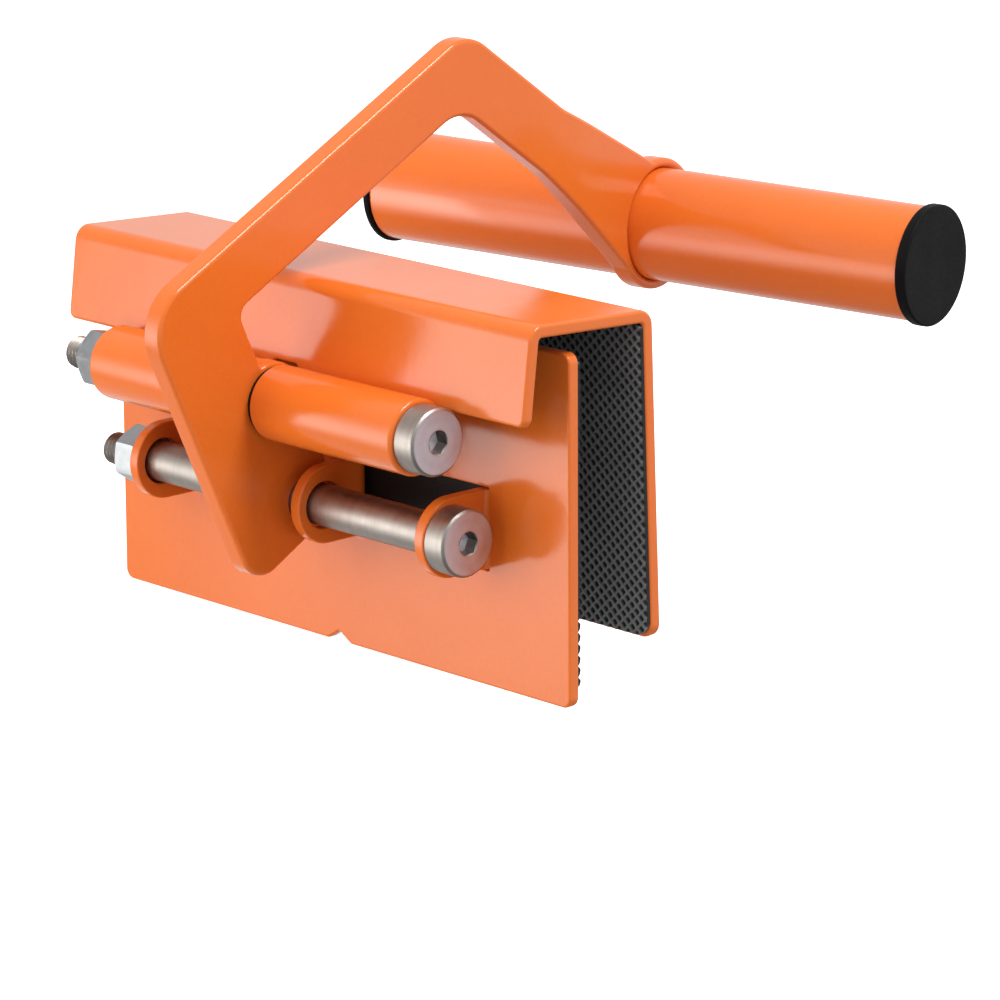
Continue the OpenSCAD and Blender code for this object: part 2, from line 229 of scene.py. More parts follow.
def make(name, bm, mat, body, nodes=(), sharp=38, even=True, origin=(0, 0, 0), weld=1e-4):
    """turns a bmesh in millimetres into a piece that rides on a body"""
    if weld:
        bmesh.ops.remove_doubles(bm, verts=bm.verts[:], dist=weld)
    bmesh.ops.recalc_face_normals(bm, faces=bm.faces[:])
    o = Vector(origin)
    for v in bm.verts:
        v.co = (v.co - o) * MM
    me = bpy.data.meshes.new(name)
    bm.to_mesh(me)
    bm.free()
    me.polygons.foreach_set("use_smooth", [True] * len(me.polygons))
    me.set_sharp_from_angle(angle=radians(sharp))
    ob = bpy.data.objects.new(name, me)
    ob.location = o * MM
    bpy.context.scene.collection.objects.link(ob)
    me.materials.append(mat)
    if even:
        m = ob.modifiers.new("even_normals", "WEIGHTED_NORMAL")
        m.keep_sharp = True
        m.weight = 60
    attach(ob, body)
    if nodes:
        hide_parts(*nodes)
    return ob


def rings_mesh(rings, close_ends=True, loop=False):
    """skin over rings of equal count; a ring of one point is a pole"""
    verts, faces, base = [], [], []
    for r in rings:
        base.append(len(verts))
        verts += r
    count = len(rings)
    for k in range(count if loop else count - 1):
        a, b = rings[k], rings[(k + 1) % count]
        ia, ib = base[k], base[(k + 1) % count]
        n = max(len(a), len(b))
        for i in range(n):
            j = (i + 1) % n
            if len(a) == 1:
                faces.append((ia, ib + j, ib + i))
            elif len(b) == 1:
                faces.append((ia + i, ia + j, ib))
            else:
                faces.append((ia + i, ia + j, ib + j, ib + i))
    return verts, faces


def axis_ring(x, r, n, at, turn=0.0):
    """ring about an axis along X at (y, z); r and x may be functions of the angle"""
    out = []
    for i in range(n):
        f = turn + 2 * pi * i / n
        rr = r(f) if callable(r) else r
        xx = x(f) if callable(x) else x
        out.append((xx, at[0] + rr * cos(f), at[1] + rr * sin(f)))
    return out


def turned_bar(profile, n, at, turn=0.0, loop=False):
    """revolved profile of (x, r); r == 0 makes a pole"""
    rings = []
    for x, r in profile:
        if not callable(r) and r == 0:
            rings.append([(x, at[0], at[1])])
        else:
            rings.append(axis_ring(x, r, n, at, turn))
    v, f = rings_mesh(rings, loop=loop)
    return bag(v, f)


def eased(pts, r, step=0.12):
    """profile with its inner corners rounded; r is one radius for each point"""
    out = []
    for i, p in enumerate(pts):
        if i in (0, len(pts) - 1) or r[i] <= 0:
            out.append(p)
        else:
            out += corner(pts[i - 1], p, pts[i + 1], r[i], step)
    return out


def eye_place(bm):
    """moves a mesh built along X about the origin to the eye's axis, origin on its near face"""
    m = Matrix.Translation(HAND) @ Matrix.Rotation(ARM_A, 4, "Z")
    bmesh.ops.transform(bm, matrix=m, verts=bm.verts[:])
    return bm


def handle_place(bm):
    """moves a mesh built along X about the origin to the handle's axis"""
    mid = HAND - TUBE_BACK * Vector((cos(ARM_A), sin(ARM_A), 0))
    m = Matrix.Translation(mid) @ Matrix.Rotation(ARM_A, 4, "Z") @ Matrix.Rotation(DIP, 4, "Y")
    bmesh.ops.transform(bm, matrix=m, verts=bm.verts[:])
    return bm


# ---------------------------------------------------------------- materials

def nodes_of(name):
    m = bpy.data.materials.new(name)
    m.use_nodes = True
    t = m.node_tree
    b = t.nodes["Principled BSDF"]
    return m, t, b


def noise(t, vec, scale, detail=2.0, rough=0.5, dist=0.0):
    n = t.nodes.new("ShaderNodeTexNoise")
    n.inputs["Scale"].default_value = scale
    n.inputs["Detail"].default_value = detail
    n.inputs["Roughness"].default_value = rough
    n.inputs["Distortion"].default_value = dist
    t.links.new(vec, n.inputs["Vector"])
    return n.outputs["Fac"]


def ramp(t, fac, stops):
    n = t.nodes.new("ShaderNodeValToRGB")
    e = n.color_ramp.elements
    e[0].position, e[0].color = stops[0][0], (*stops[0][1], 1)
    e[1].position, e[1].color = stops[-1][0], (*stops[-1][1], 1)
    for p, c in stops[1:-1]:
        k = e.new(p)
        k.color = (*c, 1)
    t.links.new(fac, n.inputs["Fac"])
    return n.outputs["Color"]


def span(t, fac, lo, hi, a=0.0, b=1.0):
    n = t.nodes.new("ShaderNodeMapRange")
    n.inputs["From Min"].default_value = a
    n.inputs["From Max"].default_value = b
    n.inputs["To Min"].default_value = lo
    n.inputs["To Max"].default_value = hi
    t.links.new(fac, n.inputs["Value"])
    return n.outputs["Result"]


def math_node(t, op, a, b=None):
    n = t.nodes.new("ShaderNodeMath")
    n.operation = op
    for i, v in enumerate((a, b)):
        if v is None:
            continue
        if isinstance(v, (int, float)):
            n.inputs[i].default_value = v
        else:
            t.links.new(v, n.inputs[i])
    return n.outputs[0]


def mix_color(t, fac, a, b, kind="MIX"):
    n = t.nodes.new("ShaderNodeMix")
    n.data_type = "RGBA"
    n.blend_type = kind
    for sock, v in ((n.inputs[0], fac), (n.inputs[6], a), (n.inputs[7], b)):
        if isinstance(v, (int, float)):
            sock.default_value = v
        elif isinstance(v, tuple):
            sock.default_value = (*v, 1)
        else:
            t.links.new(v, sock)
    return n.outputs[2]


def bump(t, b, height, strength, dist):
    n = t.nodes.new("ShaderNodeBump")
    n.inputs["Strength"].default_value = strength
    n.inputs["Distance"].default_value = dist
    t.links.new(height, n.inputs["Height"])
    t.links.new(n.outputs["Normal"], b.inputs["Normal"])
    return n


def coords(t, kind="Object"):
    return t.nodes.new("ShaderNodeTexCoord").outputs[kind]


def coat_material():
    """glossy orange powder coat: slight orange peel, slow tone drift, a few dust nibs"""
    m, t, b = nodes_of("coat_orange")
    p = coords(t)
    drift = noise(t, p, 22.0, 3.0, 0.55)
    fine = noise(t, p, 950.0, 2.0, 0.6)
    tone = ramp(t, drift, [(0.30, (0.725, 0.148, 0.018)), (0.52, (0.750, 0.156, 0.020)), (0.72, (0.770, 0.164, 0.022))])
    speck = ramp(t, fine, [(0.25, (0.96, 0.955, 0.94)), (0.7, (1.0, 1.0, 1.0))])
    col = mix_color(t, 1.0, tone, speck, "MULTIPLY")
    t.links.new(col, b.inputs["Base Color"])
    rough = span(t, noise(t, p, 130.0, 3.0, 0.6), 0.13, 0.18, 0.3, 0.7)
    t.links.new(rough, b.inputs["Roughness"])
    b.inputs["IOR"].default_value = 1.5
    peel = math_node(t, "ADD", math_node(t, "MULTIPLY", noise(t, p, 420.0, 1.0, 0.4), 0.7), math_node(t, "MULTIPLY", fine, 0.3))
    bump(t, b, peel, 0.07, 0.0004)
    return m


def rubber_material(name, window_shade=False):
    """black moulded rubber: paler rubbed crests, painted shade in the pits from ambient occlusion, fine grain;
    ends turned along X, and on the jaw pad the side glued to the clamp plate, are painted near-black as shade"""
    m, t, b = nodes_of(name)
    p = coords(t)
    pit_shade = t.nodes.new("ShaderNodeAmbientOcclusion")
    pit_shade.inputs["Distance"].default_value = 0.0011
    pit_shade.samples = 8
    grain = noise(t, p, 2600.0, 3.0, 0.6)
    patch = noise(t, p, 60.0, 3.0, 0.6)
    # base colour: painted shade by ambient occlusion, near-black in the pits, pale rubbed grey on the open crests
    base = ramp(t, pit_shade.outputs["AO"], [(0.42, (0.003, 0.003, 0.0035)), (0.72, (0.026, 0.026, 0.028)), (0.95, (0.222, 0.225, 0.227))])
    tint = ramp(t, patch, [(0.3, (0.80, 0.80, 0.82)), (0.7, (1.0, 1.0, 1.0))])
    col = mix_color(t, 1.0, base, tint, "MULTIPLY")
    s = t.nodes.new("ShaderNodeSeparateXYZ")
    t.links.new(coords(t, "Normal"), s.inputs[0])
    # painted shade: faces turned along X, the ends of the facing, are painted near-black
    end_shade = span(t, math_node(t, "ABSOLUTE", s.outputs[0]), 0.0, 1.0, 0.86, 0.97)
    col = mix_color(t, end_shade, col, (0.016, 0.016, 0.018))
    # painted shade: on the jaw pad, faces turned to -Y, the side glued to the clamp plate that shows through the
    # windows, are painted near-black
    if window_shade:
        col = mix_color(t, span(t, s.outputs[1], 1.0, 0.0, -0.8, -0.5), col, (0.006, 0.0045, 0.0045))
    t.links.new(col, b.inputs["Base Color"])
    t.links.new(span(t, grain, 0.48, 0.70, 0.3, 0.7), b.inputs["Roughness"])
    b.inputs["Specular IOR Level"].default_value = 0.3
    bump(t, b, grain, 0.25, 0.0001)
    return m


def steel_material():
    """satin stainless, turned: fine rings along the axis and on the faces, warm grey"""
    m, t, b = nodes_of("bolt_steel")
    p = coords(t)
    s = t.nodes.new("ShaderNodeSeparateXYZ")
    t.links.new(p, s.inputs[0])
    rad = math_node(t, "SQRT", math_node(t, "ADD", math_node(t, "MULTIPLY", s.outputs[1], s.outputs[1]), math_node(t, "MULTIPLY", s.outputs[2], s.outputs[2])))
    c = t.nodes.new("ShaderNodeCombineXYZ")
    t.links.new(s.outputs[0], c.inputs[0])
    t.links.new(rad, c.inputs[1])
    lines = noise(t, c.outputs[0], 5200.0, 2.0, 0.7)
    wide = noise(t, c.outputs[0], 900.0, 2.0, 0.6)
    cloud = noise(t, p, 260.0, 4.0, 0.6)
    tone = ramp(t, math_node(t, "ADD", math_node(t, "MULTIPLY", lines, 0.45), math_node(t, "ADD", math_node(t, "MULTIPLY", wide, 0.25), math_node(t, "MULTIPLY", cloud, 0.3))),
                [(0.30, (0.31, 0.278, 0.250)), (0.5, (0.43, 0.392, 0.357)), (0.70, (0.52, 0.482, 0.447))])
    # painted highlight: faces square to the axis are painted paler and cooler; in the socket the floor and the upward
    # wall are painted lighter and the downward wall darker, as painted light and shade
    n = t.nodes.new("ShaderNodeSeparateXYZ")
    t.links.new(coords(t, "Normal"), n.inputs[0])
    face_highlight = span(t, n.outputs[0], 0.0, 1.0, 0.85, 0.97)
    tone = mix_color(t, face_highlight, tone, mix_color(t, 1.0, tone, (1.32, 1.38, 1.65), "MULTIPLY"))
    # painted light and shade in the socket: brighter floor and upward wall, darker downward wall
    in_well = span(t, rad, 1.0, 0.0, 0.00285, 0.00300)
    wall = span(t, n.outputs[2], 0.30, 1.25, -0.1, 0.6)
    painted_socket_light = math_node(t, "MAXIMUM", wall, math_node(t, "MULTIPLY", face_highlight, 1.25))
    w = t.nodes.new("ShaderNodeCombineColor")
    for k in range(3):
        t.links.new(painted_socket_light, w.inputs[k])
    tone = mix_color(t, in_well, tone, mix_color(t, 1.0, tone, w.outputs[0], "MULTIPLY"))
    t.links.new(tone, b.inputs["Base Color"])
    b.inputs["Metallic"].default_value = 1.0
    t.links.new(span(t, cloud, 0.38, 0.50, 0.3, 0.7), b.inputs["Roughness"])
    bump(t, b, lines, 0.18, 0.00008)
    return m


def zinc_material():
    """bright zinc plate: cool grey, slightly mottled"""
    m, t, b = nodes_of("nut_zinc")
    p = coords(t)
    cloud = noise(t, p, 420.0, 5.0, 0.65)
    grain = noise(t, p, 3200.0, 2.0, 0.6)
    tone = ramp(t, cloud, [(0.28, (0.36, 0.375, 0.39)), (0.5, (0.42, 0.435, 0.45)), (0.72, (0.49, 0.505, 0.515))])
    t.links.new(tone, b.inputs["Base Color"])
    b.inputs["Metallic"].default_value = 1.0
    t.links.new(span(t, cloud, 0.30, 0.40, 0.3, 0.7), b.inputs["Roughness"])
    bump(t, b, grain, 0.12, 0.00006)
    return m


def plastic_material():
    """black moulded polyethylene: fine spark-eroded grain, faint grey bloom"""
    m, t, b = nodes_of("black_plastic")
    p = coords(t)
    grain = noise(t, p, 1500.0, 3.0, 0.65)
    bloom = noise(t, p, 75.0, 4.0, 0.6)
    tone = ramp(t, bloom, [(0.3, (0.0045, 0.0045, 0.005)), (0.7, (0.009, 0.009, 0.0095))])
    t.links.new(tone, b.inputs["Base Color"])
    t.links.new(span(t, grain, 0.40, 0.58, 0.3, 0.7), b.inputs["Roughness"])
    b.inputs["Specular IOR Level"].default_value = 0.06
    bump(t, b, grain, 0.30, 0.00012)
    return m


COAT = coat_material()
RUBBER = rubber_material("facing_rubber")
RUBBER_JAW = rubber_material("facing_rubber_jaw", True)
STEEL = steel_material()
ZINC = zinc_material()
PLASTIC = plastic_material()

# ---------------------------------------------------------------- hook sheet

LIP_DIR = (-sin(LIP_LEAN), -cos(LIP_LEAN))
LIP_INW = (cos(LIP_LEAN), -sin(LIP_LEAN))
LEG_DIR = (sin(LEG_FLARE), -cos(LEG_FLARE))
LEG_INW = (-cos(LEG_FLARE), -sin(LEG_FLARE))
B1, B2 = pi / 2 - LIP_LEAN, pi / 2 - LEG_FLARE
T1, T2 = BEND * tan(B1 / 2), BEND * tan(B2 / 2)
LIP_END = (FRONT + LIP_LEN * LIP_DIR[0], WEB_HI + LIP_LEN * LIP_DIR[1])
LEG_END = (BACK + LEG_LEN * LEG_DIR[0], WEB_HI + LEG_LEN * LEG_DIR[1])
S1 = LIP_LEN - T1
S2 = S1 + BEND * B1
S3 = S2 + (BACK - FRONT) - T1 - T2
S4 = S3 + BEND * B2
S5 = S4 + LEG_LEN - T2
C1 = add(add((FRONT, WEB_HI), mul(LIP_DIR, T1)), mul(LIP_INW, BEND))
C2 = add(add((BACK, WEB_HI), mul(LEG_DIR, T2)), mul(LEG_INW, BEND))


def fold_hook(c):
    """flat pattern (x, run from the lip's end, depth from the outer face) to the bent sheet"""
    x, s, w = c
    if s <= S1:
        q = add(add(LIP_END, mul(LIP_DIR, -s)), mul(LIP_INW, w))
    elif s <= S2:
        a = pi - LIP_LEAN - (s - S1) / BEND
        q = (C1[0] + (BEND - w) * cos(a), C1[1] + (BEND - w) * sin(a))
    elif s <= S3:
        q = (FRONT + T1 + (s - S2), WEB_HI - w)
    elif s <= S4:
        a = pi / 2 - (s - S3) / BEND
        q = (C2[0] + (BEND - w) * cos(a), C2[1] + (BEND - w) * sin(a))
    else:
        q = add(add((BACK, WEB_HI), mul(LEG_DIR, T2 + s - S4)), mul(LEG_INW, w))
    return Vector((x, q[0], q[1]))


def leg_run(z):
    """flat run of the leg's outer face at height z"""
    return S5 - LEG_LEN + (WEB_HI - z) / cos(LEG_FLARE)


def slot_loop(cx, cy, w, h, n=14):
    r = w / 2
    return arc((cx, cy + h / 2 - r), r, 0, pi, r * pi / n) + arc((cx, cy - h / 2 + r), r, pi, 2 * pi, r * pi / n)


SLOTS = [(i - 2) * 18.0 for i in range(5)]
# height of the relief for the lever boss, where its circle leaves the lip
notch = 0.0
for w in (0.0, T):
    s = 0.0
    while s < 14:
        q = add(add(LIP_END, mul(LIP_DIR, -s)), mul(LIP_INW, w))
        if length(sub(q, UP)) < 9.9:
            notch = max(notch, s)
        s += 0.05
notch += 0.1

hook_loop = round_loop(
    [(-HOOK_HALF, 0), (-4.2, 0), (-4.2, notch), (4.2, notch), (4.2, 0), (HOOK_HALF, 0), (HOOK_HALF, S5), (-HOOK_HALF, S5)],
    [2, 0.8, 1.0, 1.0, 0.8, 2, 3.5, 3.5])
hook_holes = [slot_loop(x, leg_run(-39.3), 9.0, 32.0 / cos(LEG_FLARE)) for x in SLOTS]
v, f = prism(hook_loop, hook_holes, 0, T, 0.7, 4)
cuts = [(1, lerp(S1, S2, k / 12)) for k in range(13)] + [(1, lerp(S3, S4, k / 12)) for k in range(13)]
make("hook_sheet", cut_and_fold(v, f, cuts, fold_hook), COAT, "hook", ["hook_bracket"])


# ---------------------------------------------------------------- knurled rubber

def knurl_slab(lo, hi, pitch_a, pitch_b, depth, thick, keep, phase=(0.0, 0.0)):
    """closed slab over a rectangle: crossed diagonal ridges, one way at height thick and the
    other way a little lower, with pits between them; it reaches past the rectangle, and keep is
    the prism it is trimmed with"""
    wall, floor = 0.21, 0.37
    u = [0.0, wall, wall + floor, 2 * wall + floor]
    low = {1: 1.0, 2: 1.0}
    verts, index, faces, edges = [], {}, [], {}

    def vert(gi, gj):
        key = (gi, gj)
        if key not in index:
            i, k = divmod(gi, 4)
            j, l = divmod(gj, 4)
            p, q = i + u[k], j + u[l]
            h = thick - depth * min(max(low.get(k, 0.0), 0.25), low.get(l, 0.0))
            index[key] = len(verts)
            verts.append((phase[0] + (p - q) * pitch_a / 2, phase[1] + (p + q) * pitch_b / 2, h))
        return index[key]

    mid_a, mid_b = (lo[0] + hi[0]) / 2 - phase[0], (lo[1] + hi[1]) / 2 - phase[1]
    reach = int((hi[0] - lo[0]) / pitch_a + (hi[1] - lo[1]) / pitch_b) + 4
    ci, cj = int(mid_b / pitch_b + mid_a / pitch_a), int(mid_b / pitch_b - mid_a / pitch_a)
    for i in range(ci - reach, ci + reach):
        for j in range(cj - reach, cj + reach):
            x = phase[0] + (i - j) * pitch_a / 2
            y = phase[1] + (i + j + 1) * pitch_b / 2
            if not (lo[0] - pitch_a < x < hi[0] + pitch_a and lo[1] - pitch_b < y < hi[1] + pitch_b):
                continue
            for k in range(4):
                for l in range(4):
                    q = (vert(i * 4 + k, j * 4 + l), vert(i * 4 + k + 1, j * 4 + l), vert(i * 4 + k + 1, j * 4 + l + 1), vert(i * 4 + k, j * 4 + l + 1))
                    faces.append(q)
                    for n in range(4):
                        e = (q[n], q[(n + 1) % 4])
                        if (e[1], e[0]) in edges:
                            del edges[(e[1], e[0])]
                        else:
                            edges[e] = True
    below = {}
    for a, b in edges:
        for n in (a, b):
            if n not in below:
                below[n] = len(verts)
                verts.append((verts[n][0], verts[n][1], 0.0))
    follow = dict(edges.keys())
    for a, b in edges:
        faces.append((b, a, below[a], below[b]))
    left = set(follow)
    while left:
        start = min(left)
        loop, n = [], start
        while n in left:
            left.discard(n)
            loop.append(below[n])
            n = follow[n]
        faces.append(tuple(loop[::-1]))
    slab = bpy.data.meshes.new("slab")
    slab.from_pydata(verts, [], faces)
    bm = bmesh.new()
    bm.from_mesh(slab)
    bmesh.ops.triangulate(bm, faces=[q for q in bm.faces if len(q.verts) > 4])
    bmesh.ops.recalc_face_normals(bm, faces=bm.faces[:])
    bm.to_mesh(slab)
    bm.free()
    a = bpy.data.objects.new("slab", slab)
    bpy.context.scene.collection.objects.link(a)
    kb = bag(*keep)
    bmesh.ops.recalc_face_normals(kb, faces=kb.faces[:])
    kme = bpy.data.meshes.new("keep")
    kb.to_mesh(kme)
    kb.free()
    k = bpy.data.objects.new("keep", kme)
    bpy.context.scene.collection.objects.link(k)
    mod = a.modifiers.new("trim", "BOOLEAN")
    mod.operation = "INTERSECT"
    mod.object = k
    mod.solver = "MANIFOLD"
    bpy.context.view_layer.update()
    done = bpy.data.meshes.new_from_object(a.evaluated_get(bpy.context.evaluated_depsgraph_get()))
    out = bmesh.new()
    out.from_mesh(done)
    bpy.data.objects.remove(a)
    bpy.data.objects.remove(k)
    for me in (slab, kme, done):
        bpy.data.meshes.remove(me)
    return out


def moved(bm, fn):
    for q in bm.verts:
        q.co = Vector(fn(q.co))
    return bm


KA, KB = 2.90, 2.66
KD = 0.65

# leg facing: (x, down the leg from the web's top) with its height into the channel
leg_top = (WEB_HI + T * LEG_INW[1] - RUB + 0.1) / cos(LEG_FLARE)
leg_bot = (WEB_HI + T * LEG_INW[1] - (LEG_END[1] + 0.5)) / cos(LEG_FLARE)
half = HOOK_HALF - 0.3
keep = prism(round_loop([(-half, leg_top), (half, leg_top), (half, leg_bot), (-half, leg_bot)], [1.5, 1.5, 4, 4]),
             [slot_loop(x, (WEB_HI + T * LEG_INW[1] + 39.3) / cos(LEG_FLARE), 9.0, 32.0 / cos(LEG_FLARE)) for x in SLOTS],
             -1, 3, 0.02, 1)
bm = knurl_slab((-half, leg_top), (half, leg_bot), KA, KB, KD, RUB, keep)
base = add((BACK, WEB_HI), mul(LEG_INW, T))
moved(bm, lambda c: (c[0], base[0] + LEG_DIR[0] * c[1] + LEG_INW[0] * c[2], base[1] + LEG_DIR[1] * c[1] + LEG_INW[1] * c[2]))
make("leg_facing", bm, RUBBER, "hook", ["leg_liner"], sharp=30, even=False)

# lip facing
lip_top = (WEB_HI + T * LIP_INW[1] + 0.05) / cos(LIP_LEAN)
lip_bot = (WEB_HI + T * LIP_INW[1] - (LIP_END[1] + 2)) / cos(LIP_LEAN)
lip_gap = lip_bot - (LIP_LEN - notch) + 0.2
half = HOOK_HALF - 2.0
pts = [(-half, lip_top), (half, lip_top), (half, lip_bot)]
rad = [0.6, 0.6, 1.0]
if lip_gap > 0.3:
    pts += [(4.4, lip_bot), (4.4, lip_bot - lip_gap), (-4.4, lip_bot - lip_gap), (-4.4, lip_bot)]
    rad += [0.3, 0.3, 0.3, 0.3] if lip_gap > 0.9 else [0, 0, 0, 0]
pts += [(-half, lip_bot)]
rad += [1.0]
keep = prism(round_loop(pts, rad), [], -1, 3, 0.02, 1)
bm = knurl_slab((-half, lip_top), (half, lip_bot), KA, KB, KD, RUB, keep)
base = add((FRONT, WEB_HI), mul(LIP_INW, T))
base_lip = base
moved(bm, lambda c: (c[0], base_lip[0] + LIP_DIR[0] * c[1] + LIP_INW[0] * c[2], base_lip[1] + LIP_DIR[1] * c[1] + LIP_INW[1] * c[2]))
make("lip_facing", bm, RUBBER, "hook", ["lip_liner"], sharp=30, even=False)

# web facing
lo_y = FRONT + T * LIP_INW[0] + (WEB_HI + T * LIP_INW[1] - RUB) / cos(LIP_LEAN) * LIP_DIR[0] + 1.1
hi_y = BACK + T * LEG_INW[0] + (WEB_HI + T * LEG_INW[1] - RUB) / cos(LEG_FLARE) * LEG_DIR[0] - 1.4
half = HOOK_HALF - 5.0
keep = prism(round_loop([(-half, lo_y), (half, lo_y), (half, hi_y), (-half, hi_y)], [0.6] * 4), [], -1, 3, 0.02, 1)
bm = knurl_slab((-half, lo_y), (half, hi_y), KA, KB, KD, RUB, keep)
moved(bm, lambda c: (c[0], c[1], RUB - c[2]))
make("web_facing", bm, RUBBER, "hook", ["web_liner"], sharp=30, even=False)


# ---------------------------------------------------------------- knuckles and their welds

def knuckle(x0, x1):
    prof = eased([(x0 + 1.5, BORE), (x0, BORE), (x0, 9.0), (x1, 9.0), (x1, BORE), (x1 - 1.5, BORE)],
                 [0, 0.4, 0.9, 0.9, 0.4, 0], 0.16)
    return turned_bar(prof, 96, UP, loop=True)


make("right_knuckle_tube", knuckle(KN_IN, GRIP), COAT, "hook", ["right_knuckle"])
make("left_knuckle_tube", knuckle(-GRIP_L, -KN_IN), COAT, "hook", ["left_knuckle"])


def bead(x0, x1):
    """laid weld bead with overlapping ripples, tapered at both ends"""
    c = add(add(LIP_END, mul(LIP_INW, T)), (0.05, -1.2))
    rings, n, step = [], 20, 0.22
    count = int((x1 - x0) / step)
    rings.append([(x0, c[0], c[1])])
    for k in range(1, count):
        x = lerp(x0, x1, k / count)
        end = min(1.0, sqrt(min(x - x0, x1 - x) / 1.6 + 0.02))
        wave = ((x * 0.62 + 0.1 * sin(x * 1.7)) % 1.0)
        r = (1.54 + 0.20 * sqrt(max(0.0, 1 - (2 * wave - 1) ** 2))) * end
        ring = []
        for i in range(n):
            a = 2 * pi * i / n
            ring.append((x - 0.35 * cos(a + 0.8) * end, c[0] + r * cos(a), c[1] + r * sin(a)))
        rings.append(ring)
    rings.append([(x1, c[0], c[1])])
    v, f = rings_mesh(rings)
    return bag(v, f)


make("right_knuckle_bead", bead(KN_IN + 2, GRIP - 2), COAT, "hook", ["right_knuckle_weld"], sharp=60)
make("left_knuckle_bead", bead(-GRIP_L + 2, -KN_IN - 2), COAT, "hook", ["left_knuckle_weld"], sharp=60)


def washer(x0, x1):
    prof = eased([(x0 + 0.4, BORE), (x0, BORE), (x0, 8.4), (x1, 8.4), (x1, BORE), (x1 - 0.4, BORE)],
                 [0, 0.1, 0.25, 0.25, 0.1, 0], 0.1)
    return turned_bar(prof, 72, UP, loop=True)


make("right_gap_washer", washer(ARM_H + 0.1, KN_IN), PLASTIC, "hook", ["right_lever_washer"])
make("left_gap_washer", washer(-KN_IN, -ARM_H - 0.1), PLASTIC, "hook", ["left_lever_washer"])


# ---------------------------------------------------------------- bolts and nuts

def hexagon(af, turn, cap=99.0):
    def r(f):
        k = (f - turn) % (pi / 3) - pi / 6
        return min(cap, af / 2 / cos(k))
    return r


def bolt(at, turn, left):
    """shoulder bolt: turned head with socket, plain shoulder, rolled thread with a chamfered end"""
    n = 96
    top = GRIP + HEAD
    hexr = hexagon(5.0, turn)
    inner = hexagon(4.9, turn)
    end = -left - NUT_H - STUB
    rings = [[(top - 3.75, at[0], at[1])]]
    rings.append(axis_ring(top - 3.25, lambda a: inner(a) * 0.80, n, at, turn))
    rings.append(axis_ring(top - 3.15, inner, n, at, turn))
    rings.append(axis_ring(top - 0.34, hexr, n, at, turn))
    rings.append(axis_ring(lambda a: top - 0.03 - max(0, 2.90 - hexr(a)) * 0.6, lambda a: hexr(a) * 1.01, n, at, turn))
    rings.append(axis_ring(top - 0.02, 2.93, n, at, turn))
    prof = [(top, 2.99), (top, 5.0), (top, 7.30)]
    prof += [(top - 0.03, 7.42), (top - 0.09, 7.50), (top - 0.38, 7.84), (top - 0.48, 7.93), (top - 0.60, 7.98), (top - 0.75, 8.0)]
    prof += [(GRIP + 4.0, 8.0), (GRIP + 2.0, 8.0), (GRIP + 0.42, 8.0), (GRIP + 0.22, 7.95), (GRIP + 0.08, 7.82), (GRIP, 7.62)]
    prof += [(GRIP, 5.6), (GRIP - 0.02, 5.02), (GRIP - 0.4, PIN)]
    x = 48.0
    while x > -left + 1.0:
        prof.append((x, PIN))
        x -= 6.0
    prof += [(-left + 0.5, PIN), (-left + 0.15, PIN - 0.12), (-left, PIN - 0.35), (-left, 3.9)]
    for x, r in prof:
        rings.append(axis_ring(x, r, n, at, turn))
    pitch, depth = 1.25, 0.66

    def crest(x):
        def r(a):
            k = (x / pitch + a / (2 * pi)) % 1.0
            h = min(1.0, max(0.0, (abs(2 * k - 1) - 0.10) / 0.74))
            return min(4.0 - depth * h, 4.0 - 1.05 * max(0.0, 1.0 - (x - end)))
        return r
    x = -left - 0.3
    while x > end + 0.02:
        rings.append(axis_ring(x, crest(x), n, at, turn))
        x -= pitch / 9
    rings.append(axis_ring(end, 2.80, n, at, turn))
    rings.append(axis_ring(end - 0.0, 2.2, n, at, turn))
    rings.append([(end + 0.06, at[0], at[1])])
    v, f = rings_mesh(rings)
    return bag(v, f)


make("upper_shoulder_bolt", bolt(UP, radians(-12), GRIP_L), STEEL, "hook", ["upper_bolt"], sharp=32, origin=(0, UP[0], UP[1]))
make("lower_shoulder_bolt", bolt(LO, radians(9), EAR_L), STEEL, "jaw", ["lower_bolt"], sharp=32, origin=(0, LO[0], LO[1]))


def nut(at, turn, left):
    n = 72
    hexr = hexagon(13.0, turn, 7.42)
    x0, x1 = -left - 0.02, -left - NUT_H
    rc = 6.25
    t30 = tan(radians(30))
    rings = [axis_ring(x0 - 1.2, 4.05, n, at, turn), axis_ring(x0 - 0.5, 4.05, n, at, turn), axis_ring(x0, 4.5, n, at, turn),
             axis_ring(x0, 5.6, n, at, turn), axis_ring(x0 - 0.02, rc, n, at, turn),
             axis_ring(lambda a: x0 - 0.02 - (hexr(a) - 0.12 - rc) * t30, lambda a: hexr(a) - 0.12, n, at, turn),
             axis_ring(lambda a: x0 - 0.02 - (hexr(a) - rc) * t30 - 0.06, hexr, n, at, turn),
             axis_ring((x0 + x1) / 2, hexr, n, at, turn),
             axis_ring(lambda a: x1 + 0.02 + (hexr(a) - rc) * t30 + 0.06, hexr, n, at, turn),
             axis_ring(lambda a: x1 + 0.02 + (hexr(a) - 0.12 - rc) * t30, lambda a: hexr(a) - 0.12, n, at, turn),
             axis_ring(x1 + 0.02, rc, n, at, turn), axis_ring(x1, 5.6, n, at, turn), axis_ring(x1, 4.6, n, at, turn),
             axis_ring(x1 + 0.55, 4.05, n, at, turn), axis_ring(x1 + 1.2, 4.05, n, at, turn)]
    v, f = rings_mesh(rings, loop=True)
    return bag(v, f)


